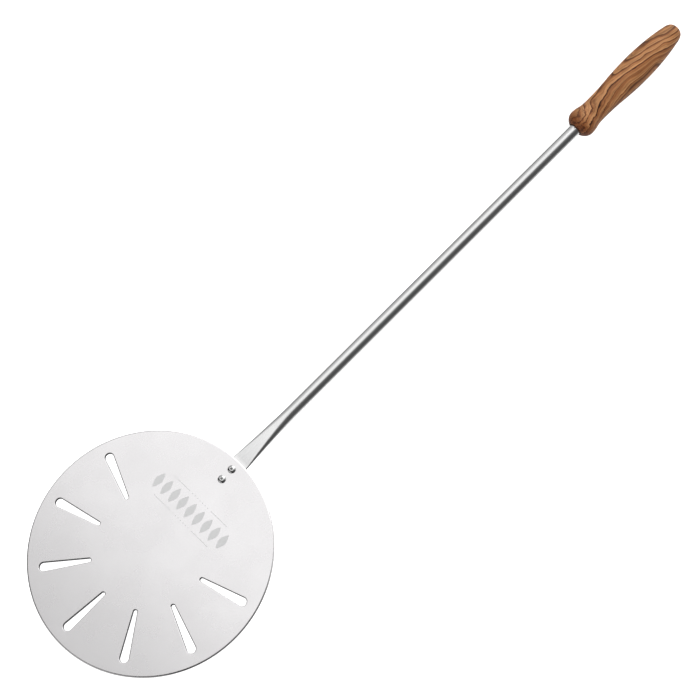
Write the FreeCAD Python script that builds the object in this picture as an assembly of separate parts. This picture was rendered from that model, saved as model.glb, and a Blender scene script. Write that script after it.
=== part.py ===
"""Turning pizza peel: a slotted round steel blade riveted to a flattened tube with a turned wooden handle.

Millimetres. Origin at the centre of the blade's upper face, +X along the handle, +Z up.
"""

import math
import os

import FreeCAD
import Part

# blade
BLADE_RADIUS = 115.0
BLADE_THICKNESS = 3.0
BLADE_TOP_EDGE_ROUND = 1.5
BLADE_LOWER_EDGE_ROUND = 0.5

# tapered slots in the blade, set out on every place of a ten-place circle but the three beside the shaft
SLOT_PLACES = 10
SLOT_FIRST_PLACE = 2
SLOT_LAST_PLACE = 8
SLOT_PATTERN_TURN_DEG = -2.5
SLOT_OUTER_END_RADIUS = 4.1
SLOT_INNER_END_RADIUS = 1.8
SLOT_OUTER_CENTRE = 99.1
SLOT_INNER_CENTRE = 56.5

# shaft, a round tube pressed flat where it passes under the blade
TUBE_RADIUS = 6.0
TUBE_WALL = 1.0
TONGUE_THICKNESS = 2.2
TONGUE_START = 80.0
TONGUE_FLAT_END = 117.0
TONGUE_CORNER = 5.0
SWELL_END = 183.0
SWELL_POWER = 1.45
SWELL_STATIONS = 12
FOLD_HALF_ANGLE_DEG = 30.0

# blind rivets
RIVET_POSITIONS = {"rivet_front": 92.5, "rivet_rear": 105.2}
RIVET_RADIUS = 2.0
RIVET_HOLE_RADIUS = 2.05
RIVET_HEAD_RADIUS = 3.9
RIVET_HEAD_HEIGHT = 1.7
RIVET_BULB_RADIUS = 3.0
RIVET_BULB_HEIGHT = 2.6
RIVET_SEAT_MARGIN = 2.1
PIN_RADIUS = 1.05
PIN_HEAD_RADIUS = 1.6
PIN_TOP_DROP = 0.45

# handle
HANDLE_START = 563.9
HANDLE_LENGTH = 142.6
NOSE_LENGTH = 9.3
NOSE_RADIUS = 14.1
MOUTH_RADIUS = 7.6
MOUTH_DEPTH = 2.5
WAIST_AT = 27.0
WAIST_RADIUS = 11.95
BELLY_AT = 85.5
BELLY_RADIUS = 14.5
TAIL_AT = 134.0
TAIL_RADIUS = 9.85
TAIL_SLOPE = -0.2
BORE_RADIUS = 6.25
BORE_DEPTH = 92.0
DRILL_POINT_DEG = 118.0
TUBE_SET_IN = 85.0
BOND_START = 3.0

TUBE_AXIS_Z = -BLADE_THICKNESS - TONGUE_THICKNESS / 2
UP = FreeCAD.Vector(0, 0, 1)
ALONG = FreeCAD.Vector(1, 0, 0)


def vec(x, y, z=0.0):
    return FreeCAD.Vector(x, y, z)


def cylinder_up(radius, x, low, high):
    return Part.makeCylinder(radius, high - low, vec(x, 0, low), UP)


def line(a, b):
    return Part.makeLine(a, b)


def arc(a, middle, b):
    return Part.Arc(a, middle, b).toShape()


def bezier(*poles):
    curve = Part.BezierCurve()
    curve.setPoles(list(poles))
    return curve.toShape()


def revolve(edges, centre, direction):
    face = Part.Face(Part.Wire(edges))
    return face.revolve(centre, direction, 360)


def rivet_holes():
    low = TUBE_AXIS_Z - TUBE_RADIUS
    holes = [cylinder_up(RIVET_HOLE_RADIUS, x, low, 1.0) for x in RIVET_POSITIONS.values()]
    return Part.makeCompound(holes)


def tapered_slot(angle_deg):
    """Prism whose plan is two round ends joined by their common tangents."""
    spread = SLOT_OUTER_CENTRE - SLOT_INNER_CENTRE
    lean = math.asin((SLOT_OUTER_END_RADIUS - SLOT_INNER_END_RADIUS) / spread)
    back = -math.sin(lean)
    side = math.cos(lean)
    low = -BLADE_THICKNESS - 1.0
    inner_left = vec(SLOT_INNER_CENTRE + SLOT_INNER_END_RADIUS * back, SLOT_INNER_END_RADIUS * side, low)
    inner_right = vec(inner_left.x, -inner_left.y, low)
    outer_left = vec(SLOT_OUTER_CENTRE + SLOT_OUTER_END_RADIUS * back, SLOT_OUTER_END_RADIUS * side, low)
    outer_right = vec(outer_left.x, -outer_left.y, low)
    inner_tip = vec(SLOT_INNER_CENTRE - SLOT_INNER_END_RADIUS, 0, low)
    outer_tip = vec(SLOT_OUTER_CENTRE + SLOT_OUTER_END_RADIUS, 0, low)
    edges = [
        arc(inner_left, inner_tip, inner_right),
        line(inner_right, outer_right),
        arc(outer_right, outer_tip, outer_left),
        line(outer_left, inner_left),
    ]
    prism = Part.Face(Part.Wire(edges)).extrude(vec(0, 0, BLADE_THICKNESS + 2.0))
    prism.rotate(vec(0, 0), UP, angle_deg)
    return prism


def blade_blank():
    """Round plate with its upper edge well rounded and its lower edge eased."""
    top = BLADE_TOP_EDGE_ROUND
    low = BLADE_LOWER_EDGE_ROUND
    bend = math.sqrt(0.5)
    floor = -BLADE_THICKNESS
    edges = [
        line(vec(0, 0, floor), vec(0, 0, 0)),
        line(vec(0, 0, 0), vec(BLADE_RADIUS - top, 0, 0)),
        arc(
            vec(BLADE_RADIUS - top, 0, 0),
            vec(BLADE_RADIUS - top + top * bend, 0, top * bend - top),
            vec(BLADE_RADIUS, 0, -top),
        ),
        line(vec(BLADE_RADIUS, 0, -top), vec(BLADE_RADIUS, 0, floor + low)),
        arc(
            vec(BLADE_RADIUS, 0, floor + low),
            vec(BLADE_RADIUS - low + low * bend, 0, floor + low - low * bend),
            vec(BLADE_RADIUS - low, 0, floor),
        ),
        line(vec(BLADE_RADIUS - low, 0, floor), vec(0, 0, floor)),
    ]
    return revolve(edges, vec(0, 0), UP)


def rivet_seat():
    """Oblong column of the blade around the rivets, kept as a face of its own on the top."""
    radius = RIVET_HEAD_RADIUS + RIVET_SEAT_MARGIN
    front = min(RIVET_POSITIONS.values())
    rear = max(RIVET_POSITIONS.values())
    rear = min(rear, BLADE_RADIUS - BLADE_TOP_EDGE_ROUND - radius - 1.0)
    low = -BLADE_THICKNESS
    edges = [
        line(vec(front, -radius, low), vec(rear, -radius, low)),
        arc(vec(rear, -radius, low), vec(rear + radius, 0, low), vec(rear, radius, low)),
        line(vec(rear, radius, low), vec(front, radius, low)),
        arc(vec(front, radius, low), vec(front - radius, 0, low), vec(front, -radius, low)),
    ]
    return Part.Face(Part.Wire(edges)).extrude(vec(0, 0, BLADE_THICKNESS))


def blade():
    pitch = 360.0 / SLOT_PLACES
    places = range(SLOT_FIRST_PLACE, SLOT_LAST_PLACE + 1)
    slots = [tapered_slot(place * pitch + SLOT_PATTERN_TURN_DEG) for place in places]
    blank = blade_blank().cut(Part.makeCompound(slots))
    seat = rivet_seat()
    body = blank.cut(seat).fuse(seat)
    return body.cut(rivet_holes())


def tube_section(x, swell, inset):
    """Closed outline across the shaft: swell 0 is pressed flat, swell 1 is round."""
    half_flat = TONGUE_THICKNESS / 2
    flat_run = math.pi * (TUBE_RADIUS - half_flat) / 2
    fold = math.radians(FOLD_HALF_ANGLE_DEG)
    round_radius = TUBE_RADIUS - inset
    flat_height = half_flat - inset

    def blend(flat, full):
        return flat + (full - flat) * swell

    width = blend(flat_run + flat_height, round_radius)
    height = blend(flat_height, round_radius)
    corner_y = blend(flat_run, round_radius * math.sin(fold))
    corner_z = blend(flat_height, round_radius * math.cos(fold))

    def at(y, z):
        return vec(x, y, TUBE_AXIS_Z + z)

    def cap(sign):
        ends = (at(-sign * corner_y, sign * corner_z), at(sign * corner_y, sign * corner_z))
        if swell == 0:
            return line(*ends)
        return arc(ends[0], at(0, sign * height), ends[1])

    edges = [
        cap(1),
        arc(at(corner_y, corner_z), at(width, 0), at(corner_y, -corner_z)),
        cap(-1),
        arc(at(-corner_y, -corner_z), at(-width, 0), at(-corner_y, corner_z)),
    ]
    return Part.Wire(edges)


def tube_form(inset, start, end):
    """Solid form of the shaft drawn in by inset all round, flat, then swelling, then round."""
    flat = Part.Face(tube_section(start, 0, inset)).extrude(vec(TONGUE_FLAT_END - start, 0))
    stations = []
    for step in range(SWELL_STATIONS):
        share = step / (SWELL_STATIONS - 1)
        swell = 1 - (1 - share) ** SWELL_POWER
        x = TONGUE_FLAT_END + (SWELL_END - TONGUE_FLAT_END) * share
        stations.append(tube_section(x, swell, inset))
    swelling = Part.makeLoft(stations, True)
    barrel = Part.makeCylinder(TUBE_RADIUS - inset, end - SWELL_END, vec(SWELL_END, 0, TUBE_AXIS_Z), ALONG)
    return flat.fuse([swelling, barrel])


def tongue_plan():
    """Column over the whole shaft whose front end is rounded like the tongue's tip."""
    reach = TUBE_RADIUS * 2
    tube_end = HANDLE_START + TUBE_SET_IN
    block = Part.makeBox(
        tube_end - TONGUE_START,
        reach * 2,
        reach * 2,
        vec(TONGUE_START, -reach, TUBE_AXIS_Z - reach),
    )
    half_width = math.pi * (TUBE_RADIUS - TONGUE_THICKNESS / 2) / 2 + TONGUE_THICKNESS / 2
    tip = TONGUE_START
    bend = TONGUE_CORNER * (1 - math.sqrt(0.5))
    floor = TUBE_AXIS_Z - reach
    trims = []
    for sign in (-1, 1):
        edge = sign * half_width
        before = vec(tip + TONGUE_CORNER, edge, floor)
        middle = vec(tip + bend, edge - sign * bend, floor)
        after = vec(tip, edge - sign * TONGUE_CORNER, floor)
        beyond = vec(tip - 1, after.y, floor)
        outside = vec(tip - 1, edge + sign, floor)
        aside = vec(before.x, edge + sign, floor)
        edges = [
            arc(before, middle, after),
            line(after, beyond),
            line(beyond, outside),
            line(outside, aside),
            line(aside, before),
        ]
        trims.append(Part.Face(Part.Wire(edges)).extrude(vec(0, 0, reach * 2)))
    return block.cut(Part.makeCompound(trims))


def shaft():
    end = HANDLE_START + TUBE_SET_IN
    skin = tube_form(0.0, TONGUE_START, end)
    hollow = tube_form(TUBE_WALL, TONGUE_START - 1, end + 1)
    tube = skin.cut(hollow).common(tongue_plan())
    return tube.cut(rivet_holes())


def rivet_body(x):
    """Hollow blind rivet: domed head above, straight shank, and a swollen tail below the tongue."""
    grip = -BLADE_THICKNESS - TONGUE_THICKNESS
    tail = grip - RIVET_BULB_HEIGHT
    shoulder = RIVET_HEAD_HEIGHT * 0.8
    half_way = (RIVET_HEAD_RADIUS + PIN_RADIUS) * 0.55
    edges = [
        line(vec(x + PIN_RADIUS, 0, tail), vec(x + PIN_RADIUS, 0, RIVET_HEAD_HEIGHT)),
        arc(
            vec(x + PIN_RADIUS, 0, RIVET_HEAD_HEIGHT),
            vec(x + half_way, 0, shoulder),
            vec(x + RIVET_HEAD_RADIUS, 0, 0),
        ),
        line(vec(x + RIVET_HEAD_RADIUS, 0, 0), vec(x + RIVET_RADIUS, 0, 0)),
        line(vec(x + RIVET_RADIUS, 0, 0), vec(x + RIVET_RADIUS, 0, grip)),
        arc(
            vec(x + RIVET_RADIUS, 0, grip),
            vec(x + RIVET_BULB_RADIUS, 0, (grip + tail) / 2),
            vec(x + PIN_RADIUS + 0.4, 0, tail),
        ),
        line(vec(x + PIN_RADIUS + 0.4, 0, tail), vec(x + PIN_RADIUS, 0, tail)),
    ]
    return revolve(edges, vec(x, 0), UP)


def rivet_pin(x):
    """Broken-off mandrel left in the rivet, with its head under the tail."""
    grip = -BLADE_THICKNESS - TONGUE_THICKNESS
    tail = grip - RIVET_BULB_HEIGHT
    top = RIVET_HEAD_HEIGHT - PIN_TOP_DROP
    bend = math.sqrt(0.5) * PIN_HEAD_RADIUS
    edges = [
        line(vec(x, 0, tail - PIN_HEAD_RADIUS), vec(x, 0, top)),
        line(vec(x, 0, top), vec(x + PIN_RADIUS, 0, top)),
        line(vec(x + PIN_RADIUS, 0, top), vec(x + PIN_RADIUS, 0, tail)),
        line(vec(x + PIN_RADIUS, 0, tail), vec(x + PIN_HEAD_RADIUS, 0, tail)),
        arc(
            vec(x + PIN_HEAD_RADIUS, 0, tail),
            vec(x + bend, 0, tail - bend),
            vec(x, 0, tail - PIN_HEAD_RADIUS),
        ),
    ]
    return revolve(edges, vec(x, 0), UP)


def handle():
    """Turned handle: rounded nose, waist, belly and blunt tail, drilled from the front for the tube."""
    start = HANDLE_START

    def at(x, radius):
        return vec(start + x, 0, TUBE_AXIS_Z + radius)

    point_depth = BORE_RADIUS / math.tan(math.radians(DRILL_POINT_DEG / 2))
    waist_pull = (WAIST_AT - NOSE_LENGTH) / 2
    belly_pull = (BELLY_AT - WAIST_AT) / 2
    tail_pull = (TAIL_AT - BELLY_AT) / 3
    end = HANDLE_LENGTH
    end_pull = (end - TAIL_AT) * 0.7
    outline = [
        bezier(at(MOUTH_DEPTH, BORE_RADIUS), at(0, BORE_RADIUS), at(0, MOUTH_RADIUS)),
        bezier(
            at(0, MOUTH_RADIUS),
            at(NOSE_LENGTH * 0.17, NOSE_RADIUS * 0.75),
            at(NOSE_LENGTH * 0.5, NOSE_RADIUS),
            at(NOSE_LENGTH, NOSE_RADIUS),
        ),
        bezier(
            at(NOSE_LENGTH, NOSE_RADIUS),
            at(NOSE_LENGTH + waist_pull * 0.9, NOSE_RADIUS),
            at(WAIST_AT - waist_pull * 1.1, WAIST_RADIUS),
            at(WAIST_AT, WAIST_RADIUS),
        ),
        bezier(
            at(WAIST_AT, WAIST_RADIUS),
            at(WAIST_AT + belly_pull, WAIST_RADIUS),
            at(BELLY_AT - belly_pull, BELLY_RADIUS),
            at(BELLY_AT, BELLY_RADIUS),
        ),
        bezier(
            at(BELLY_AT, BELLY_RADIUS),
            at(BELLY_AT + tail_pull, BELLY_RADIUS),
            at(TAIL_AT - tail_pull, TAIL_RADIUS - TAIL_SLOPE * tail_pull),
            at(TAIL_AT, TAIL_RADIUS),
        ),
        bezier(
            at(TAIL_AT, TAIL_RADIUS),
            at(TAIL_AT + end_pull, TAIL_RADIUS + TAIL_SLOPE * end_pull),
            at(end, TAIL_RADIUS * 0.62),
            at(end, 0),
        ),
        line(at(end, 0), at(BORE_DEPTH + point_depth, 0)),
        line(at(BORE_DEPTH + point_depth, 0), at(BORE_DEPTH, BORE_RADIUS)),
        line(at(BORE_DEPTH, BORE_RADIUS), at(MOUTH_DEPTH, BORE_RADIUS)),
    ]
    return revolve(outline, vec(start, 0, TUBE_AXIS_Z), ALONG)


def adhesive():
    """Cured glue that fills the gap between the tube and the handle's bore."""
    length = TUBE_SET_IN - BOND_START
    foot = vec(HANDLE_START + BOND_START, 0, TUBE_AXIS_Z)
    outer = Part.makeCylinder(BORE_RADIUS, length, foot, ALONG)
    inner = Part.makeCylinder(TUBE_RADIUS, length, foot, ALONG)
    return outer.cut(inner)


def main():
    os.makedirs("parts", exist_ok=True)
    shapes = {
        "blade": blade(),
        "shaft": shaft(),
        "handle": handle(),
        "handle_adhesive": adhesive(),
    }
    for name, x in RIVET_POSITIONS.items():
        shapes[name] = rivet_body(x)
        shapes[name + "_pin"] = rivet_pin(x)
    for name, shape in shapes.items():
        shape.exportStep("parts/" + name + ".step")


main()
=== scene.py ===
"""Looks of a turning pizza peel: satin steel blade, bright steel tube, blind rivets, olive-wood handle.

Metres, in the frame of the CAD model: origin at the centre of the blade's upper face, +X along the
handle, +Z up.
"""

import math

import bmesh
import bpy
from mathutils import Matrix, Vector


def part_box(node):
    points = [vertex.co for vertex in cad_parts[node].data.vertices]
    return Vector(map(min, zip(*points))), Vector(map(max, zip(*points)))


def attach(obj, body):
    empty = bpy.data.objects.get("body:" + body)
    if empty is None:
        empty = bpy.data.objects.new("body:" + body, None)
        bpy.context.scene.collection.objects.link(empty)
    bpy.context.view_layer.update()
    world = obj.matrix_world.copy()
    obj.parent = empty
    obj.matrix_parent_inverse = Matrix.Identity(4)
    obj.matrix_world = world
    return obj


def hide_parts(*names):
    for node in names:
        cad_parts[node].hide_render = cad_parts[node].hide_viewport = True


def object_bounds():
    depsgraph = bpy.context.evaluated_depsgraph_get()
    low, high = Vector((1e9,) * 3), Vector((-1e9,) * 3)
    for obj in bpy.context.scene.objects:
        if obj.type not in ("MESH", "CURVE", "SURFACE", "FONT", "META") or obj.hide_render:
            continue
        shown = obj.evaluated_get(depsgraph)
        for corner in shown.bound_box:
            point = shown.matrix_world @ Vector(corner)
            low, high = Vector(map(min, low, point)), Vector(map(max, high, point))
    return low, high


MM = 0.001
BODY = "root"

# ---------------------------------------------------------------- frame
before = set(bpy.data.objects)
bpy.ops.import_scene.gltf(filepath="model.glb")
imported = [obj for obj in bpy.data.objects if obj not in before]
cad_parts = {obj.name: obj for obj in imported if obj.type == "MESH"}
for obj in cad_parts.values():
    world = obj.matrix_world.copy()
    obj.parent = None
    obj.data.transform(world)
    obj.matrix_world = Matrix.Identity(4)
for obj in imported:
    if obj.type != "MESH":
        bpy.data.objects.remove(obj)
cad_low, cad_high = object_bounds()

blade_low, blade_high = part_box("blade")
shaft_low, shaft_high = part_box("shaft")
handle_low, handle_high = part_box("handle")

BLADE_RADIUS = blade_high.x
BLADE_THICKNESS = blade_high.z - blade_low.z
TUBE_RADIUS = (shaft_high.z - shaft_low.z) / 2
TUBE_AXIS_Z = (shaft_high.z + shaft_low.z) / 2
HANDLE_LENGTH = handle_high.x - handle_low.x
HANDLE_START = handle_low.x


# ---------------------------------------------------------------- mesh helpers
def link_mesh(name, bm, smooth=True):
    """Scene object made from the mesh, with its normals facing outwards."""
    bmesh.ops.recalc_face_normals(bm, faces=bm.faces)
    mesh = bpy.data.meshes.new(name)
    bm.to_mesh(mesh)
    bm.free()
    obj = bpy.data.objects.new(name, mesh)
    bpy.context.scene.collection.objects.link(obj)
    for poly in mesh.polygons:
        poly.use_smooth = smooth
    return obj


def weighted_normals(obj):
    mod = obj.modifiers.new("weighted_normals", "WEIGHTED_NORMAL")
    mod.weight = 100
    mod.keep_sharp = True


def bridge(bm, ring_a, ring_b):
    """Quads between two closed rings of the same length."""
    count = len(ring_a)
    for i in range(count):
        j = (i + 1) % count
        bm.faces.new((ring_a[i], ring_a[j], ring_b[j], ring_b[i]))


def arc_points(cx, cy, radius, start, end, count):
    """count + 1 points of an arc in a plane; angles in degrees."""
    points = []
    for i in range(count + 1):
        a = math.radians(start + (end - start) * i / count)
        points.append((cx + radius * math.cos(a), cy + radius * math.sin(a)))
    return points


def cubic(p0, p1, p2, p3, count):
    """count points of a cubic curve, the last end left out."""
    points = []
    for i in range(count):
        t = i / count
        u = 1 - t
        points.append(
            tuple(
                u**3 * a + 3 * u * u * t * b + 3 * u * t * t * c + t**3 * d
                for a, b, c, d in zip(p0, p1, p2, p3)
            )
        )
    return points


def spin(name, profile, place, segments):
    """Closed solid of revolution. profile is (along, radius) pairs; place maps (along, a, b) to a point."""
    bm = bmesh.new()
    rings = []
    for along, radius in profile:
        if radius == 0.0:
            rings.append([bm.verts.new(place(along, 0.0, 0.0))])
            continue
        ring = []
        for i in range(segments):
            a = 2 * math.pi * i / segments
            ring.append(bm.verts.new(place(along, radius * math.cos(a), radius * math.sin(a))))
        rings.append(ring)
    closed = len(rings[0]) > 1
    pairs = list(zip(rings, rings[1:]))
    if closed:
        pairs.append((rings[-1], rings[0]))
    for a, b in pairs:
        if len(a) == 1 or len(b) == 1:
            tip, ring = (a[0], b) if len(a) == 1 else (b[0], a)
            for i in range(len(ring)):
                bm.faces.new((ring[i], ring[(i + 1) % len(ring)], tip))
        else:
            bridge(bm, a, b)
    return link_mesh(name, bm)


# ---------------------------------------------------------------- materials
# painted shade on the walls of the slots, cut through the sheet: where it starts, and how dark it is
SLOT_SHADE_MARGIN = 0.08 * MM
SLOT_SHADE_BLEND = 0.2 * MM
SLOT_SHADE_RIM = 4.0 * MM
SLOT_WALL_PAINTED_SHADE = (0.05, 0.048, 0.05)


def new_material(name):
    mat = bpy.data.materials.new(name)
    mat.use_nodes = True
    tree = mat.node_tree
    shader = tree.nodes["Principled BSDF"]
    return mat, tree, shader


def node(tree, kind, **values):
    """New node; each value sets a setting of that name or, failing that, an input."""
    made = tree.nodes.new(kind)
    for key, value in values.items():
        if hasattr(made, key):
            setattr(made, key, value)
        else:
            made.inputs[key].default_value = value
    return made


def math_node(tree, operation, a, b=None, clamp=False):
    made = tree.nodes.new("ShaderNodeMath")
    made.operation = operation
    made.use_clamp = clamp
    for socket, value in zip(made.inputs, (a, b)):
        if value is None:
            continue
        if isinstance(value, (int, float)):
            socket.default_value = value
        else:
            tree.links.new(value, socket)
    return made.outputs[0]


def ramp(tree, fac, stops):
    """Colour that runs straight from one (place, colour) stop to the next."""
    made = tree.nodes.new("ShaderNodeValToRGB")
    elements = made.color_ramp.elements
    while len(elements) < len(stops):
        elements.new(0.5)
    for element, (stop, colour) in zip(elements, stops):
        element.position = stop
        element.color = (*colour, 1.0)
    tree.links.new(fac, made.inputs[0])
    return made.outputs[0]


def mix_colour(tree, fac, a, b, mode="MIX"):
    """Mix of two colours; each argument is a number, a colour or a socket."""
    made = tree.nodes.new("ShaderNodeMix")
    made.data_type = "RGBA"
    made.blend_type = mode
    for socket, value in ((made.inputs[0], fac), (made.inputs[6], a), (made.inputs[7], b)):
        if isinstance(value, (int, float)):
            socket.default_value = value
        elif isinstance(value, tuple):
            socket.default_value = (*value, 1.0)
        else:
            tree.links.new(value, socket)
    return made.outputs[2]


def position(tree):
    """Place of the shaded point in the object's own frame, in metres."""
    return tree.nodes.new("ShaderNodeTexCoord").outputs["Object"]


def stretched(tree, vector, scale, offset=(0.0, 0.0, 0.0)):
    made = tree.nodes.new("ShaderNodeMapping")
    made.inputs["Scale"].default_value = scale
    made.inputs["Location"].default_value = offset
    tree.links.new(vector, made.inputs["Vector"])
    return made.outputs[0]


def noise(tree, vector, scale, detail, roughness):
    made = node(tree, "ShaderNodeTexNoise", Scale=scale, Detail=detail, Roughness=roughness)
    tree.links.new(vector, made.inputs["Vector"])
    return made.outputs["Fac"]


def grey(value):
    return (value, value, value)


def linear(r, g, b):
    """Linear colour from 0-255 display values."""
    out = []
    for channel in (r, g, b):
        c = channel / 255
        out.append(c / 12.92 if c <= 0.04045 else ((c + 0.055) / 1.055) ** 2.4)
    return tuple(out)


def bump(tree, shader, height, strength, distance):
    made = node(tree, "ShaderNodeBump", Strength=strength, Distance=distance)
    tree.links.new(height, made.inputs["Height"])
    tree.links.new(made.outputs[0], shader.inputs["Normal"])


def between(tree, value, low, high, blend):
    """1 where value lies between low and high, fading to 0 over blend inside each end."""
    rising = math_node(tree, "MULTIPLY", math_node(tree, "SUBTRACT", value, low), 1 / blend, clamp=True)
    falling = math_node(tree, "MULTIPLY", math_node(tree, "SUBTRACT", high, value), 1 / blend, clamp=True)
    return math_node(tree, "MULTIPLY", rising, falling)


def satin_steel():
    """Sheet with a fine blasted grain, faint cloudy patches and painted shade on the walls of its slots."""
    mat, tree, shader = new_material("satin_steel")
    shader.inputs["Metallic"].default_value = 1.0
    place = position(tree)
    clouds = noise(tree, place, scale=22.0, detail=4.0, roughness=0.55)
    fine = noise(tree, place, scale=900.0, detail=3.0, roughness=0.6)
    drawn = stretched(tree, place, (60.0, 900.0, 60.0))
    streaks = noise(tree, drawn, scale=1.0, detail=3.0, roughness=0.6)
    base = ramp(tree, clouds, ((0.3, (0.835, 0.821, 0.827)), (0.7, (0.865, 0.852, 0.859))))
    grain = ramp(tree, fine, ((0.35, grey(0.95)), (0.65, grey(1.0))))
    colour = mix_colour(tree, 1.0, base, grain, "MULTIPLY")

    separate = tree.nodes.new("ShaderNodeSeparateXYZ")
    tree.links.new(place, separate.inputs[0])
    in_plan = tree.nodes.new("ShaderNodeVectorMath")
    in_plan.operation = "LENGTH"
    tree.links.new(stretched(tree, place, (1.0, 1.0, 0.0)), in_plan.inputs[0])
    # painted shade: every wall through the sheet, away from its rim, is coloured near black as if in shade
    wall = between(tree, separate.outputs[2], -BLADE_THICKNESS + SLOT_SHADE_MARGIN, -SLOT_SHADE_MARGIN, SLOT_SHADE_BLEND)
    inner = between(tree, in_plan.outputs["Value"], 0.0, BLADE_RADIUS - SLOT_SHADE_RIM, SLOT_SHADE_BLEND)
    painted_wall_shade = math_node(tree, "MULTIPLY", wall, inner)
    colour = mix_colour(tree, painted_wall_shade, colour, SLOT_WALL_PAINTED_SHADE)
    tree.links.new(colour, shader.inputs["Base Color"])

    rough = ramp(tree, clouds, ((0.3, grey(0.29)), (0.7, grey(0.25))))
    tree.links.new(rough, shader.inputs["Roughness"])
    height = math_node(tree, "ADD", fine, math_node(tree, "MULTIPLY", streaks, 0.4))
    bump(tree, shader, height, strength=0.10, distance=0.2 * MM)
    return mat


def bright_steel():
    """Polished tube with fine draw lines along its length."""
    mat, tree, shader = new_material("bright_steel")
    shader.inputs["Metallic"].default_value = 1.0
    place = position(tree)
    drawn = stretched(tree, place, (14.0, 1400.0, 1400.0))
    lines = noise(tree, drawn, scale=1.0, detail=3.0, roughness=0.6)
    clouds = noise(tree, place, scale=30.0, detail=3.0, roughness=0.5)
    colour = ramp(tree, lines, ((0.3, grey(0.76)), (0.7, grey(0.83))))
    tree.links.new(colour, shader.inputs["Base Color"])
    rough = ramp(tree, clouds, ((0.3, grey(0.20)), (0.7, grey(0.27))))
    tree.links.new(rough, shader.inputs["Roughness"])
    bump(tree, shader, lines, strength=0.06, distance=0.1 * MM)
    return mat


def rivet_steel():
    """Bright steel with small handling marks."""
    mat, tree, shader = new_material("rivet_steel")
    shader.inputs["Metallic"].default_value = 1.0
    place = position(tree)
    marks = noise(tree, place, scale=700.0, detail=3.0, roughness=0.6)
    colour = ramp(tree, marks, ((0.3, grey(0.66)), (0.7, grey(0.78))))
    tree.links.new(colour, shader.inputs["Base Color"])
    rough = ramp(tree, marks, ((0.3, grey(0.12)), (0.7, grey(0.2))))
    tree.links.new(rough, shader.inputs["Roughness"])
    bump(tree, shader, marks, strength=0.05, distance=0.1 * MM)
    return mat


def broken_steel():
    """Snapped end of a rivet's mandrel."""
    mat, tree, shader = new_material("broken_steel")
    shader.inputs["Metallic"].default_value = 1.0
    place = position(tree)
    grain = noise(tree, place, scale=1500.0, detail=3.0, roughness=0.7)
    colour = ramp(tree, grain, ((0.3, grey(0.24)), (0.7, grey(0.44))))
    tree.links.new(colour, shader.inputs["Base Color"])
    rough = ramp(tree, grain, ((0.3, grey(0.4)), (0.7, grey(0.6))))
    tree.links.new(rough, shader.inputs["Roughness"])
    bump(tree, shader, grain, strength=0.4, distance=0.3 * MM)
    return mat


def etched_steel():
    """Matt, slightly darker surface left by etching."""
    mat, tree, shader = new_material("etched_steel")
    shader.inputs["Metallic"].default_value = 1.0
    place = position(tree)
    fine = noise(tree, place, scale=1300.0, detail=3.0, roughness=0.6)
    colour = ramp(tree, fine, ((0.3, grey(0.84)), (0.7, grey(0.88))))
    tree.links.new(colour, shader.inputs["Base Color"])
    rough = ramp(tree, fine, ((0.3, grey(0.5)), (0.7, grey(0.6))))
    tree.links.new(rough, shader.inputs["Roughness"])
    bump(tree, shader, fine, strength=0.12, distance=0.2 * MM)
    return mat


def cured_glue():
    """Cloudy cream-coloured epoxy."""
    mat, tree, shader = new_material("cured_glue")
    place = position(tree)
    blotch = noise(tree, place, scale=120.0, detail=3.0, roughness=0.5)
    colour = ramp(tree, blotch, ((0.3, linear(196, 180, 138)), (0.7, linear(212, 198, 160))))
    tree.links.new(colour, shader.inputs["Base Color"])
    rough = ramp(tree, blotch, ((0.3, grey(0.35)), (0.7, grey(0.5))))
    tree.links.new(rough, shader.inputs["Roughness"])
    return mat


# olive wood: the grain runs along the handle, bends at a fold and flows round knots
BOARD_TILT = math.radians(19.3)
GRAIN_FOLD_AT = 62.0 * MM
GRAIN_FOLD_ROUND = 8.0 * MM
GRAIN_SLOPE = 0.27
GRAIN_LEAN = 0.40
# noise scales, each as (along the handle, sideways, into the board) in turns per metre
SLOW_SCALE = (26.0, 55.0, 55.0)
QUICK_SCALE = (80.0, 150.0, 150.0)
PATCH_SCALE = (20.0, 60.0, 60.0)
PATCH_OFFSET = (0.3, 0.1, 0.7)
FIBRE_SCALE = (60.0, 700.0, 400.0)
SLOW_WAVE = 7.0 * MM
QUICK_WAVE = 2.6 * MM
NOSE_SWIRL = 7.0
NOSE_SWIRL_REACH = 16.0 * MM
RING_UNEVENNESS = 0.9
RING_PITCH = 5.2 * MM
RING_JITTER = 1.3
FINE_RING_PITCH = 2.3 * MM
FINE_RING_JITTER = 1.1
NOSE_DARK_END = 12.0 * MM
NOSE_DARK_BLEND = 9.0 * MM
NOSE_DARK_SHARE = 0.95
NOSE_DARK_TINT = (0.62, 0.46, 0.38)
KNOT_DRAWN_OUT = 0.6
KNOT_EYE_EDGE = 0.66
KNOT_EYE_CONTRAST = 2.8
# (along from the handle's front, across, up, reach, how far the grain is pushed aside)
KNOTS = (
    (30.0 * MM, 3.0 * MM, 10.5 * MM, 7.0 * MM, -5.0 * MM),
    (97.0 * MM, -12.0 * MM, 4.5 * MM, 6.0 * MM, -10.0 * MM),
    (118.0 * MM, -5.0 * MM, 10.0 * MM, 3.5 * MM, -4.0 * MM),
)
# each ring darkens slowly and ends in a thin dark line
RING_COLOURS = (
    (0.0, linear(203, 147, 99)),
    (0.35, linear(192, 134, 87)),
    (0.75, linear(168, 109, 67)),
    (0.87, linear(130, 80, 46)),
    (0.92, linear(66, 36, 20)),
    (0.975, linear(72, 40, 23)),
    (1.0, linear(203, 147, 99)),
)
FINE_RING_TONES = ((0.0, 1.0), (0.45, 0.95), (0.80, 0.52), (0.93, 0.34), (1.0, 1.0))
KNOT_COLOUR = linear(86, 48, 27)


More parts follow.
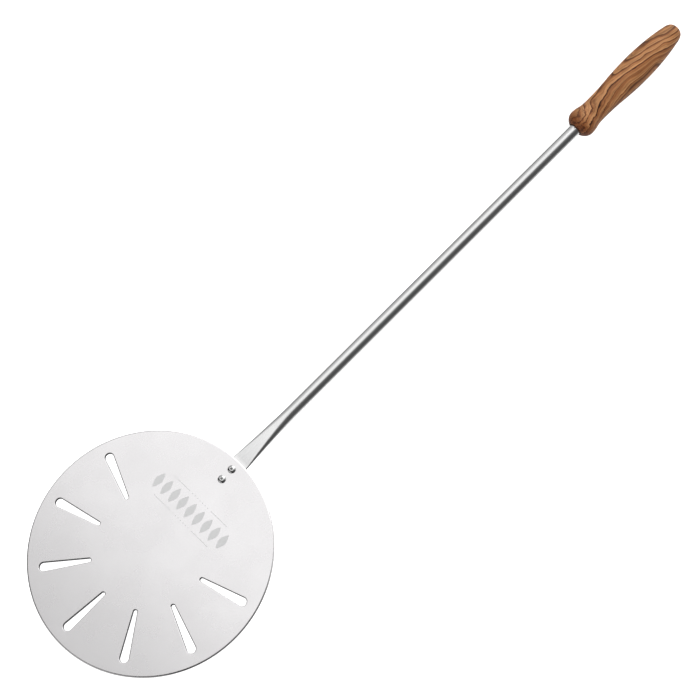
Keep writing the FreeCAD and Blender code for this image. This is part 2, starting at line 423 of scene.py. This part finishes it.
def board_axes(tree, local):
    """Distance along the handle, and sideways and into the board that it was turned from."""
    separate = tree.nodes.new("ShaderNodeSeparateXYZ")
    tree.links.new(local, separate.inputs[0])
    along, across, up = separate.outputs
    lateral = math_node(
        tree,
        "ADD",
        math_node(tree, "MULTIPLY", across, math.cos(BOARD_TILT)),
        math_node(tree, "MULTIPLY", up, math.sin(BOARD_TILT)),
    )
    depth = math_node(
        tree,
        "SUBTRACT",
        math_node(tree, "MULTIPLY", up, math.cos(BOARD_TILT)),
        math_node(tree, "MULTIPLY", across, math.sin(BOARD_TILT)),
    )
    return along, lateral, depth


def folded_grain(tree, along, lateral, depth):
    """Straight runs of grain that meet in a rounded fold."""
    shift = math_node(tree, "SUBTRACT", along, GRAIN_FOLD_AT)
    squared = math_node(tree, "MULTIPLY", shift, shift)
    rounded = math_node(tree, "SQRT", math_node(tree, "ADD", squared, GRAIN_FOLD_ROUND**2))
    field = math_node(tree, "ADD", lateral, math_node(tree, "MULTIPLY", rounded, GRAIN_SLOPE))
    return math_node(tree, "ADD", field, math_node(tree, "MULTIPLY", depth, GRAIN_LEAN))


def round_knots(tree, local, field):
    """The grain pushed aside by the knots, and how near the nearest knot is: 1 at its middle."""
    nearest = None
    drawn = stretched(tree, local, (KNOT_DRAWN_OUT, 1.0, 1.0))
    for x, y, z, reach, push in KNOTS:
        apart = tree.nodes.new("ShaderNodeVectorMath")
        apart.operation = "DISTANCE"
        tree.links.new(drawn, apart.inputs[0])
        apart.inputs[1].default_value = (x * KNOT_DRAWN_OUT, y, z)
        reaches = math_node(tree, "MULTIPLY", apart.outputs["Value"], -1 / reach)
        fade = math_node(tree, "EXPONENT", reaches)
        field = math_node(tree, "ADD", field, math_node(tree, "MULTIPLY", fade, push))
        nearest = fade if nearest is None else math_node(tree, "MAXIMUM", nearest, fade)
    return field, nearest


def centred(tree, value, height):
    """A 0..1 noise as a wave of the given height about zero."""
    return math_node(tree, "MULTIPLY", math_node(tree, "SUBTRACT", value, 0.5), height)


def wavy_grain(tree, local, along, field):
    """Slow bends and quick ripples, which swirl near the nose."""
    slow = noise(tree, stretched(tree, local, SLOW_SCALE), scale=1.0, detail=2.0, roughness=0.5)
    quick = noise(tree, stretched(tree, local, QUICK_SCALE), scale=1.0, detail=3.0, roughness=0.6)
    bends = centred(tree, slow, SLOW_WAVE)
    ripples = centred(tree, quick, QUICK_WAVE)
    near_nose = math_node(tree, "EXPONENT", math_node(tree, "MULTIPLY", along, -1 / NOSE_SWIRL_REACH))
    swirl = math_node(tree, "ADD", math_node(tree, "MULTIPLY", near_nose, NOSE_SWIRL), 1.0)
    waves = math_node(tree, "ADD", bends, math_node(tree, "MULTIPLY", ripples, swirl))
    return math_node(tree, "ADD", field, waves)


def olive_rings(tree, field, pitch, jitter):
    """Saw-tooth 0..1 across each ring of the wood."""
    made = node(tree, "ShaderNodeTexNoise", noise_dimensions="1D", Scale=RING_UNEVENNESS / pitch, Detail=1.0)
    tree.links.new(field, made.inputs["W"])
    turns = math_node(tree, "MULTIPLY", field, 1 / pitch)
    turns = math_node(tree, "ADD", turns, math_node(tree, "MULTIPLY", made.outputs["Fac"], jitter))
    return math_node(tree, "FRACT", turns)


def ring_colour(tree, local, field):
    """Broad rings, with finer ones that show more in some patches than in others."""
    rings = olive_rings(tree, field, RING_PITCH, RING_JITTER)
    fine_rings = olive_rings(tree, field, FINE_RING_PITCH, FINE_RING_JITTER)
    moved = stretched(tree, local, PATCH_SCALE, PATCH_OFFSET)
    patches = noise(tree, moved, scale=1.0, detail=2.0, roughness=0.5)
    colour = ramp(tree, rings, RING_COLOURS)
    fine_tone = ramp(tree, fine_rings, [(stop, grey(tone)) for stop, tone in FINE_RING_TONES])
    fine_share = ramp(tree, patches, ((0.36, grey(0.60)), (0.60, grey(1.0))))
    colour = mix_colour(tree, fine_share, colour, mix_colour(tree, 1.0, colour, fine_tone, "MULTIPLY"))
    patch_tone = ramp(tree, patches, ((0.3, grey(1.06)), (0.7, (0.86, 0.82, 0.78))))
    return mix_colour(tree, 1.0, colour, patch_tone, "MULTIPLY")


def dark_nose(tree, along, colour):
    """End grain on the nose is darker and redder."""
    short = math_node(tree, "SUBTRACT", NOSE_DARK_END, along)
    share = math_node(tree, "MULTIPLY", short, 1 / NOSE_DARK_BLEND, clamp=True)
    tinted = mix_colour(tree, 1.0, colour, NOSE_DARK_TINT, "MULTIPLY")
    return mix_colour(tree, math_node(tree, "MULTIPLY", share, NOSE_DARK_SHARE), colour, tinted)


def olive_wood():
    """Oiled olive wood, figured round the handle's own axis."""
    mat, tree, shader = new_material("olive_wood")
    local = stretched(tree, position(tree), (1.0, 1.0, 1.0), (-HANDLE_START, 0.0, -TUBE_AXIS_Z))
    along, lateral, depth = board_axes(tree, local)
    field = folded_grain(tree, along, lateral, depth)
    field, near_knot = round_knots(tree, local, field)
    field = wavy_grain(tree, local, along, field)

    colour = ring_colour(tree, local, field)
    past_edge = math_node(tree, "SUBTRACT", near_knot, KNOT_EYE_EDGE)
    eye = math_node(tree, "MULTIPLY", past_edge, KNOT_EYE_CONTRAST, clamp=True)
    colour = mix_colour(tree, eye, colour, KNOT_COLOUR)

    # fibres and pores lie along the grain
    with_grain = tree.nodes.new("ShaderNodeCombineXYZ")
    for socket, value in zip(with_grain.inputs, (along, field, depth)):
        tree.links.new(value, socket)
    drawn = stretched(tree, with_grain.outputs[0], FIBRE_SCALE)
    fibres = noise(tree, drawn, scale=1.0, detail=3.0, roughness=0.6)
    fibre_tone = ramp(tree, fibres, ((0.32, grey(0.74)), (0.66, grey(1.08))))
    colour = mix_colour(tree, 1.0, colour, fibre_tone, "MULTIPLY")
    tree.links.new(dark_nose(tree, along, colour), shader.inputs["Base Color"])

    rough = ramp(tree, fibres, ((0.3, grey(0.55)), (0.7, grey(0.45))))
    tree.links.new(rough, shader.inputs["Roughness"])
    shader.inputs["Specular IOR Level"].default_value = 0.25
    bump(tree, shader, fibres, strength=0.25, distance=0.3 * MM)
    return mat


SATIN = satin_steel()
BRIGHT = bright_steel()
RIVET = rivet_steel()
BROKEN = broken_steel()
ETCHED = etched_steel()
OLIVE = olive_wood()
GLUE = cured_glue()


def finish_piece(obj, material, slot, *nodes):
    """Hand a piece over: its material, and the CAD nodes that it stands in for, which are hidden. The slot
    argument is not used.
    """
    obj.data.materials.append(material)
    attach(obj, BODY)
    if nodes:
        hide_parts(*nodes)


# ---------------------------------------------------------------- blade
BLADE_TOP_ROUND = 1.5 * MM
BLADE_LOWER_ROUND = 0.5 * MM
SLOT_EASE = 0.9 * MM
SLOT_PLACES = range(2, 9)
SLOT_PITCH_DEG = 36.0
SLOT_TURN_DEG = -2.5
SLOT_OUTER_END = (99.1 * MM, 4.1 * MM)
SLOT_INNER_END = (56.5 * MM, 1.8 * MM)
RIVET_HOLE_RADIUS = 2.05 * MM
RIVET_HOLE_EASE = 0.05 * MM
# how finely each curve is cut: points round an outline, steps down an edge
RIM_POINTS = 288
RIM_STEPS = 8
SLOT_OUTER_POINTS = 24
SLOT_INNER_POINTS = 16
SLOT_STEPS = 5
RIVET_HOLE_POINTS = 32
RIVET_HOLE_STEPS = 2


def edge_profile(top_round, lower_round, steps):
    """(inset, z) pairs from the top face round the edge to the lower face."""
    low = -BLADE_THICKNESS
    points = []
    for i in range(steps + 1):
        a = math.pi / 2 * i / steps
        points.append((top_round * (1 - math.sin(a)), top_round * (math.cos(a) - 1)))
    for i in range(steps + 1):
        a = math.pi / 2 * i / steps
        points.append((lower_round * (1 - math.cos(a)), low + lower_round * (1 - math.sin(a))))
    return points


def slot_outline(angle_deg, grow):
    """Closed outline of a tapered slot, larger by grow all round."""
    outer_x, outer_r = SLOT_OUTER_END
    inner_x, inner_r = SLOT_INNER_END
    lean = math.degrees(math.asin((outer_r - inner_r) / (outer_x - inner_x)))
    outline = arc_points(outer_x, 0, outer_r + grow, -90 - lean, 90 + lean, SLOT_OUTER_POINTS)
    outline += arc_points(inner_x, 0, inner_r + grow, 90 + lean, 270 - lean, SLOT_INNER_POINTS)
    turn = math.radians(angle_deg)
    c, s = math.cos(turn), math.sin(turn)
    return [(x * c - y * s, x * s + y * c) for x, y in outline]


def circle_outline(cx, radius, count, cy=0.0):
    """count points of a whole circle."""
    return arc_points(cx, cy, radius, 0, 360, count)[:-1]


def rivet_place(name):
    """Distance of a rivet's axis from the blade's centre."""
    low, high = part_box(name)
    return (low.x + high.x) / 2


def blade_edges():
    """For each edge of the sheet, its outline as a function of the inset, and its edge profile."""
    rim = edge_profile(BLADE_TOP_ROUND, BLADE_LOWER_ROUND, RIM_STEPS)
    edges = [(lambda inset: circle_outline(0, BLADE_RADIUS - inset, RIM_POINTS), rim)]
    eased = edge_profile(SLOT_EASE, SLOT_EASE / 3, SLOT_STEPS)
    for place in SLOT_PLACES:
        angle = place * SLOT_PITCH_DEG + SLOT_TURN_DEG
        edges.append((lambda inset, angle=angle: slot_outline(angle, inset), eased))
    drilled = edge_profile(RIVET_HOLE_EASE, RIVET_HOLE_EASE, RIVET_HOLE_STEPS)
    for name in ("rivet_front", "rivet_rear"):

        def hole_outline(inset, x=rivet_place(name)):
            return circle_outline(x, RIVET_HOLE_RADIUS + inset, RIVET_HOLE_POINTS)

        edges.append((hole_outline, drilled))
    return edges


def ring_edges(bm, ring):
    """The mesh edges of a closed ring of vertices."""
    return [bm.edges.get((a, b)) for a, b in zip(ring, ring[1:] + ring[:1])]


def build_blade():
    bm = bmesh.new()
    top_edges, low_edges = [], []
    for outline, profile in blade_edges():
        rings = []
        for inset, z in profile:
            rings.append([bm.verts.new((x, y, z)) for x, y in outline(inset)])
        for a, b in zip(rings, rings[1:]):
            bridge(bm, a, b)
        top_edges += ring_edges(bm, rings[0])
        low_edges += ring_edges(bm, rings[-1])
    bmesh.ops.triangle_fill(bm, use_beauty=True, use_dissolve=False, edges=top_edges)
    bmesh.ops.triangle_fill(bm, use_beauty=True, use_dissolve=False, edges=low_edges)
    obj = link_mesh("blade_sheet", bm)
    weighted_normals(obj)
    finish_piece(obj, SATIN, "blade_steel", "blade")


build_blade()

# ---------------------------------------------------------------- shaft
TUBE_WALL = 1.0 * MM
TONGUE_HALF = 1.1 * MM
TONGUE_CORNER = 5.0 * MM
TONGUE_FLAT_END = 117.0 * MM
SWELL_END = 183.0 * MM
SWELL_POWER = 1.45
# points round a section, and the sections along the tip, the swelling and the straight runs
FLAT_STEPS = 10
CAP_STEPS = 12
TIP_STEPS = 8
SWELL_STEPS = 40
TONGUE_STATION = 100.0 * MM
RUN_IN = 1.0 * MM
TUBE_STATIONS = (2.0 * MM, 20.0 * MM)


def shaft_section(x, end_radius, inset, narrow):
    """Stadium section whose developed length is always that of the round tube."""
    flat = math.pi * (TUBE_RADIUS - end_radius) / 2
    radius = end_radius - inset
    flat = max(flat - narrow, 0.0)
    points = []
    for side in (1, -1):
        for i in range(FLAT_STEPS):
            points.append((side * (-flat + 2 * flat * i / FLAT_STEPS), side * radius))
        for i in range(CAP_STEPS):
            a = math.radians(90 - 180 * i / CAP_STEPS)
            points.append((side * (flat + radius * math.cos(a)), side * radius * math.sin(a)))
    return [(x, y, TUBE_AXIS_Z + z) for y, z in points]


def tongue_narrowing(x):
    """How far each corner of the tongue is cut back at x."""
    reach = x - shaft_low.x
    if reach >= TONGUE_CORNER:
        return 0.0
    return TONGUE_CORNER - math.sqrt(TONGUE_CORNER**2 - (TONGUE_CORNER - reach) ** 2)


def swell(share):
    """How far the flattened tube has opened, 0..1, at a share of the way along its swelling."""
    return 1 - (1 - share) ** SWELL_POWER


def shaft_stations():
    """(x, half height) of every section, from the tongue's tip to the end inside the handle."""
    stations = []
    for i in range(TIP_STEPS):
        x = shaft_low.x + TONGUE_CORNER * (1 - math.cos(math.pi / 2 * i / TIP_STEPS))
        stations.append((x, TONGUE_HALF))
    for x in (shaft_low.x + TONGUE_CORNER, TONGUE_STATION, TONGUE_FLAT_END - RUN_IN):
        stations.append((x, TONGUE_HALF))
    for i in range(SWELL_STEPS + 1):
        share = i / SWELL_STEPS
        x = TONGUE_FLAT_END + (SWELL_END - TONGUE_FLAT_END) * share
        stations.append((x, TONGUE_HALF + (TUBE_RADIUS - TONGUE_HALF) * swell(share)))
    for past in TUBE_STATIONS:
        stations.append((SWELL_END + past, TUBE_RADIUS))
    for x in ((SWELL_END + shaft_high.x) / 2, shaft_high.x):
        stations.append((x, TUBE_RADIUS))
    return stations


def build_shaft():
    bm = bmesh.new()
    outer_rings, inner_rings = [], []
    for x, radius in shaft_stations():
        narrow = tongue_narrowing(x)
        outer_rings.append([bm.verts.new(p) for p in shaft_section(x, radius, 0.0, narrow)])
        inner_rings.append([bm.verts.new(p) for p in shaft_section(x, radius, TUBE_WALL, narrow)])
    for rings in (outer_rings, inner_rings):
        for a, b in zip(rings, rings[1:]):
            bridge(bm, a, b)
    bridge(bm, outer_rings[0], inner_rings[0])
    bridge(bm, outer_rings[-1], inner_rings[-1])
    obj = link_mesh("shaft_tube", bm)
    weighted_normals(obj)
    finish_piece(obj, BRIGHT, "tube_steel", "shaft")


build_shaft()


# ---------------------------------------------------------------- rivets
PIN_RADIUS = 1.05 * MM
PIN_FIT = 0.98
RIVET_RADIUS = 2.0 * MM
RIVET_POINTS = 64
PIN_POINTS = 48
# domed head: height of its rim, how steeply it falls, and its eased inner edge round the pin
HEAD_RIM = 0.25 * MM
HEAD_FALL = 2.0
HEAD_STEPS = 14
HEAD_INNER_EDGE = 0.2 * MM
HEAD_INNER_EASE = ((0.25 * MM, 0.0), (0.06 * MM, 0.08 * MM))
# swollen tail below the tongue
BULB_RADIUS = 3.0 * MM
BULB_FULLNESS = 0.7
BULB_LIP = 0.4 * MM
BULB_STEPS = 10
# the pin's torn end, as (drop below its top, share of its radius)
PIN_TORN_END = ((0.1 * MM, 0.0), (0.02 * MM, 0.45), (0.0, 0.7), (0.15 * MM, PIN_FIT))
PIN_HEAD_EDGE = 0.1 * MM
PIN_HEAD_SHOULDER = 0.92
PIN_HEAD_STEPS = 8


def upright(x):
    """Placing of a turned piece whose axis stands at x."""
    return lambda along, a, b: (x + a, b, along)


def rivet_profile(head_radius, height, tail):
    """Outline of the hollow rivet from its crown, round the head, down the shank and the tail."""
    grip = -BLADE_THICKNESS - 2 * TONGUE_HALF
    inner = PIN_RADIUS + HEAD_INNER_EDGE
    points = [(height - drop, PIN_RADIUS + out) for drop, out in HEAD_INNER_EASE]
    for i in range(1, HEAD_STEPS + 1):
        share = i / HEAD_STEPS
        r = inner + (head_radius - inner) * share
        points.append((height - (height - HEAD_RIM) * share**HEAD_FALL, r))
    points += [(0.0, head_radius), (0.0, RIVET_RADIUS), (grip, RIVET_RADIUS)]
    lip = PIN_RADIUS + BULB_LIP
    for i in range(1, BULB_STEPS):
        share = i / BULB_STEPS
        swelling = (BULB_RADIUS - RIVET_RADIUS) * math.sin(math.pi * share) ** BULB_FULLNESS
        r = RIVET_RADIUS + (lip - RIVET_RADIUS) * share + swelling
        points.append((grip + (tail - grip) * share, min(r, BULB_RADIUS)))
    points += [(tail, lip), (tail, PIN_RADIUS)]
    return points


def pin_profile(top, tail, low, ball):
    """Outline of the mandrel from its torn end down to its round head."""
    points = [(top - drop, PIN_RADIUS * share) for drop, share in PIN_TORN_END]
    points.append((tail, PIN_RADIUS * PIN_FIT))
    points.append((tail, ball * PIN_HEAD_SHOULDER))
    edge = tail - PIN_HEAD_EDGE
    points.append((edge, ball))
    for i in range(1, PIN_HEAD_STEPS):
        a = math.pi / 2 * i / PIN_HEAD_STEPS
        points.append((edge - (edge - low) * math.sin(a), ball * math.cos(a)))
    points.append((low, 0.0))
    return points


def build_rivet(name):
    low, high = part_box(name)
    stand = upright(rivet_place(name))
    profile = rivet_profile((high.x - low.x) / 2, high.z, low.z)
    body = spin(name + "_body", profile, stand, RIVET_POINTS)
    weighted_normals(body)
    finish_piece(body, RIVET, "rivet_steel", name)

    pin_low, pin_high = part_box(name + "_pin")
    profile = pin_profile(pin_high.z, low.z, pin_low.z, (pin_high.x - pin_low.x) / 2)
    pin = spin(name + "_mandrel", profile, stand, PIN_POINTS)
    weighted_normals(pin)
    finish_piece(pin, BROKEN, "rivet_pin_steel", name + "_pin")


build_rivet("rivet_front")
build_rivet("rivet_rear")


# ---------------------------------------------------------------- handle
# (along from the handle's front, radius) where the outline turns
MOUTH = (2.5 * MM, 7.6 * MM)
NOSE = (9.3 * MM, 14.1 * MM)
WAIST = (27.0 * MM, 11.95 * MM)
BELLY = (85.5 * MM, 14.5 * MM)
TAIL = (134.0 * MM, 9.85 * MM)
TAIL_SLOPE = -0.2
BORE_RADIUS = 6.25 * MM
BORE_DEPTH = 92.0 * MM
BORE_POINT = 3.75 * MM
BORE_STATION = 12.0 * MM
# how the curves leave those places, as shares of the run or of the radius
MOUTH_PULL = 0.35
NOSE_RISE = (0.17, 0.75)
NOSE_PULL = 0.5
NECK_PULLS = (0.9, 1.1)
END_PULL = 0.7
END_FULLNESS = 0.62
# how finely each run of the outline is cut, and points round the handle
MOUTH_STEPS = 8
NOSE_STEPS = 24
NECK_STEPS = 24
WAIST_STEPS = 32
BELLY_STEPS = 28
TAIL_STEPS = 24
HANDLE_POINTS = 128


def handle_front():
    """Drill point, bore, eased mouth and rounded nose."""
    lip = MOUTH[1] - BORE_RADIUS
    points = [
        (BORE_DEPTH + BORE_POINT, 0.0),
        (BORE_DEPTH, BORE_RADIUS),
        (MOUTH[0] + BORE_STATION, BORE_RADIUS),
    ]
    points += cubic(
        (MOUTH[0], BORE_RADIUS),
        (MOUTH[0] * MOUTH_PULL, BORE_RADIUS),
        (0.0, BORE_RADIUS + lip * MOUTH_PULL),
        (0.0, MOUTH[1]),
        MOUTH_STEPS,
    )
    points += cubic(
        (0.0, MOUTH[1]),
        (NOSE[0] * NOSE_RISE[0], NOSE[1] * NOSE_RISE[1]),
        (NOSE[0] * NOSE_PULL, NOSE[1]),
        NOSE,
        NOSE_STEPS,
    )
    return points


def handle_back():
    """Neck, waist, belly and blunt tail."""
    end = HANDLE_LENGTH
    waist_pull = (WAIST[0] - NOSE[0]) / 2
    belly_pull = (BELLY[0] - WAIST[0]) / 2
    tail_pull = (TAIL[0] - BELLY[0]) / 3
    end_pull = (end - TAIL[0]) * END_PULL
    points = cubic(
        NOSE,
        (NOSE[0] + waist_pull * NECK_PULLS[0], NOSE[1]),
        (WAIST[0] - waist_pull * NECK_PULLS[1], WAIST[1]),
        WAIST,
        NECK_STEPS,
    )
    points += cubic(
        WAIST,
        (WAIST[0] + belly_pull, WAIST[1]),
        (BELLY[0] - belly_pull, BELLY[1]),
        BELLY,
        WAIST_STEPS,
    )
    points += cubic(
        BELLY,
        (BELLY[0] + tail_pull, BELLY[1]),
        (TAIL[0] - tail_pull, TAIL[1] - TAIL_SLOPE * tail_pull),
        TAIL,
        BELLY_STEPS,
    )
    points += cubic(
        TAIL,
        (TAIL[0] + end_pull, TAIL[1] + TAIL_SLOPE * end_pull),
        (end, TAIL[1] * END_FULLNESS),
        (end, 0.0),
        TAIL_STEPS,
    )
    points.append((end, 0.0))
    return points


def build_handle():
    def place(along, a, b):
        return (HANDLE_START + along, a, TUBE_AXIS_Z + b)

    obj = spin("handle_turned", handle_front() + handle_back(), place, HANDLE_POINTS)
    weighted_normals(obj)
    finish_piece(obj, OLIVE, "olive_wood", "handle")


build_handle()

# the glue is hidden in the bore, so the CAD solid stays and only takes its material
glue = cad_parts["handle_adhesive"]
glue.data.materials.clear()
glue.data.materials.append(GLUE)


# ---------------------------------------------------------------- etched ornament, a plain border
ETCH_AT = 52.0 * MM
ETCH_HALF_RUN = 48.0 * MM
ETCH_SKIN = 0.02 * MM
LOZENGE_COUNT = 9
LOZENGE_HALF_WIDTH = 3.7 * MM
LOZENGE_HALF_LENGTH = 8.4 * MM
LOZENGE_PINCH = 1.5
LOZENGE_POINTS = 40
RULE_OFFSET = 12.6 * MM
RULE_HALF_WIDTH = 0.30 * MM
RULE_ENDS = (14.0 * MM, 36.0 * MM)
DOT_COUNT = 7
DOT_PITCH = 3.4 * MM
DOT_RADIUS = 0.55 * MM
DOT_POINTS = 16


def lozenge(y):
    """Outline of one lozenge with hollow sides and soft points, centred at y."""
    outline = []
    for i in range(LOZENGE_POINTS):
        a = 2 * math.pi * i / LOZENGE_POINTS
        c, s = math.cos(a), math.sin(a)
        along = LOZENGE_HALF_LENGTH * math.copysign(abs(c) ** LOZENGE_PINCH, c)
        across = LOZENGE_HALF_WIDTH * math.copysign(abs(s) ** LOZENGE_PINCH, s)
        outline.append((ETCH_AT + along, y + across))
    return outline


def ornament_outlines():
    """Row of lozenges, with two short rules and a row of dots on each side of it."""
    pitch = 2 * ETCH_HALF_RUN / LOZENGE_COUNT
    outlines = [lozenge(-ETCH_HALF_RUN + pitch * (i + 0.5)) for i in range(LOZENGE_COUNT)]
    for x in (ETCH_AT - RULE_OFFSET, ETCH_AT + RULE_OFFSET):
        for side in (-1, 1):
            near, far = side * RULE_ENDS[0], side * RULE_ENDS[1]
            left, right = x - RULE_HALF_WIDTH, x + RULE_HALF_WIDTH
            outlines.append([(left, near), (right, near), (right, far), (left, far)])
        for i in range(DOT_COUNT):
            y = DOT_PITCH * (i - (DOT_COUNT - 1) / 2)
            outlines.append(circle_outline(x, DOT_RADIUS, DOT_POINTS, y))
    return outlines


def build_ornament():
    bm = bmesh.new()
    for points in ornament_outlines():
        top = [bm.verts.new((x, y, ETCH_SKIN)) for x, y in points]
        low = [bm.verts.new((x, y, -ETCH_SKIN)) for x, y in points]
        bm.faces.new(top)
        bm.faces.new(list(reversed(low)))
        bridge(bm, top, low)
    obj = link_mesh("etched_border", bm, smooth=False)
    finish_piece(obj, ETCHED, "blade_steel")


build_ornament()

# ---------------------------------------------------------------- floor
FLOOR_DROP = 1.0 * MM
FLOOR_HALF = 6.0


def build_floor():
    """Pale floor that neither lights the tool nor shows in it."""
    bm = bmesh.new()
    z = cad_low.z - FLOOR_DROP
    corners = ((-1, -1), (1, -1), (1, 1), (-1, 1))
    bm.faces.new([bm.verts.new((x * FLOOR_HALF, y * FLOOR_HALF, z)) for x, y in corners])
    obj = link_mesh("floor", bm, smooth=False)
    mat, tree, shader = new_material("pale_floor")
    shader.inputs["Base Color"].default_value = (0.9, 0.9, 0.9, 1.0)
    shader.inputs["Roughness"].default_value = 0.9
    shader.inputs["Emission Color"].default_value = (1.0, 1.0, 1.0, 1.0)
    shader.inputs["Emission Strength"].default_value = 0.9
    obj.data.materials.append(mat)
    obj.visible_glossy = False
    obj.visible_diffuse = False
    obj.visible_shadow = False


build_floor()

# ---------------------------------------------------------------- camera
CAMERA_TILT = math.radians(19.28)
CAMERA_YAW = math.radians(8.32)
CAMERA_SLANT = math.radians(44.87)
CAMERA_DISTANCE = 1.820
AIM_ALONG = 257.9 * MM
AIM_ACROSS = -1.05 * MM
SENSOR = 36.0
LENS = 103.13
CLIP_START = 0.05
CLIP_END = 50.0


def build_camera():
    """Camera over the blade, turned so that the handle runs up to the right."""
    tilt_c, tilt_s = math.cos(CAMERA_TILT), math.sin(CAMERA_TILT)
    yaw_c, yaw_s = math.cos(CAMERA_YAW), math.sin(CAMERA_YAW)
    handle_way = Vector((yaw_c, -tilt_s * yaw_s, tilt_c * yaw_s))
    side_way = Vector((0.0, -tilt_c, -tilt_s))
    back = Vector((-yaw_s, -tilt_s * yaw_c, tilt_c * yaw_c))
    slant_c, slant_s = math.cos(CAMERA_SLANT), math.sin(CAMERA_SLANT)
    right = handle_way * slant_c + side_way * slant_s
    up = handle_way * slant_s - side_way * slant_c
    turn = Matrix((right, up, back)).transposed()
    data = bpy.data.cameras.new("camera")
    data.sensor_width = SENSOR
    data.lens = LENS
    data.clip_start = CLIP_START
    data.clip_end = CLIP_END
    camera = bpy.data.objects.new("camera", data)
    camera.location = handle_way * AIM_ALONG + side_way * AIM_ACROSS + back * CAMERA_DISTANCE
    camera.rotation_mode = "QUATERNION"
    camera.rotation_quaternion = turn.to_quaternion()
    bpy.context.scene.collection.objects.link(camera)
    bpy.context.scene.camera = camera


build_camera()


# ---------------------------------------------------------------- light
def area_light(name, location, target, size, radiance):
    """Square softbox that faces the target; radiance is its brightness, whatever its size."""
    data = bpy.data.lights.new(name, "AREA")
    data.size = size
    data.energy = radiance * math.pi * size * size
    obj = bpy.data.objects.new(name, data)
    obj.location = location
    obj.rotation_mode = "QUATERNION"
    obj.rotation_quaternion = (Vector(location) - Vector(target)).to_track_quat("Z", "Y")
    bpy.context.scene.collection.objects.link(obj)
    return obj


# brightness of the studio round the tool's long axis: degrees from straight up, positive to the camera's side
STUDIO_RING = (
    (-180, 0.14),
    (-135, 0.18),
    (-102, 0.28),
    (-72, 0.48),
    (-48, 0.66),
    (-20, 0.74),
    (3, 0.76),
    (17, 0.30),
    (34, 0.13),
    (60, 0.07),
    (95, 0.10),
    (115, 0.24),
    (140, 0.24),
    (180, 0.14),
)

# share of the ring's brightness at each place along the axis: 0 at the blade's end, 1 at the handle's
STUDIO_ENDS = ((0.02, 0.30), (0.10, 0.20), (0.19, 0.04), (0.30, 0.04), (0.43, 1.0), (0.74, 1.0), (0.88, 2.4))

# even light from both ends of the studio, for views along the tool
STUDIO_FAR_GLOW = ((0.0, 0.40), (0.13, 0.34), (0.17, 0.0), (0.78, 0.0), (0.83, 0.34), (1.0, 0.40))


def build_lights():
    area_light("blade_softbox", (0.45, 0.30, 0.75), (0.45, 0.30, 0.0), size=1.0, radiance=0.38)
    handle_middle = (HANDLE_START + HANDLE_LENGTH / 2, 0.0, 0.0)
    side = area_light("handle_softbox", (0.45, 0.80, 0.90), handle_middle, size=0.6, radiance=2.6)
    side.visible_glossy = False
    fill = area_light("handle_fill", (0.60, -0.90, 0.70), handle_middle, size=0.6, radiance=5.0)
    fill.visible_glossy = False
    under = area_light("under_glow", (0.3, 0.0, -1.0), (0.3, 0.0, 0.0), size=3.0, radiance=0.80)
    under.visible_diffuse = False


def build_world():
    """Studio round the tool: a ring of brightness about its axis, dimmed and lit along it."""
    scene = bpy.context.scene
    world = bpy.data.worlds.new("studio")
    scene.world = world
    world.use_nodes = True
    tree = world.node_tree
    background = tree.nodes["Background"]
    separate = tree.nodes.new("ShaderNodeSeparateXYZ")
    tree.links.new(tree.nodes.new("ShaderNodeTexCoord").outputs["Generated"], separate.inputs[0])
    x, y, z = separate.outputs
    turn = math_node(tree, "ARCTAN2", math_node(tree, "MULTIPLY", y, -1.0), z)
    share = math_node(tree, "ADD", math_node(tree, "MULTIPLY", turn, 0.5 / math.pi), 0.5)
    stops = [((degrees + 180) / 360, grey(value)) for degrees, value in STUDIO_RING]
    ring = ramp(tree, share, stops)
    along = math_node(tree, "ADD", math_node(tree, "MULTIPLY", x, 0.5), 0.5)
    ends = ramp(tree, along, [(place, grey(value)) for place, value in STUDIO_ENDS])
    glow = ramp(tree, along, [(place, grey(value)) for place, value in STUDIO_FAR_GLOW])
    sky = mix_colour(tree, 1.0, ring, ends, "MULTIPLY")
    sky = mix_colour(tree, 1.0, sky, glow, "ADD")
    tree.links.new(sky, background.inputs["Color"])
    background.inputs["Strength"].default_value = 1.0
    scene.view_settings.view_transform = "Standard"


build_lights()
build_world()
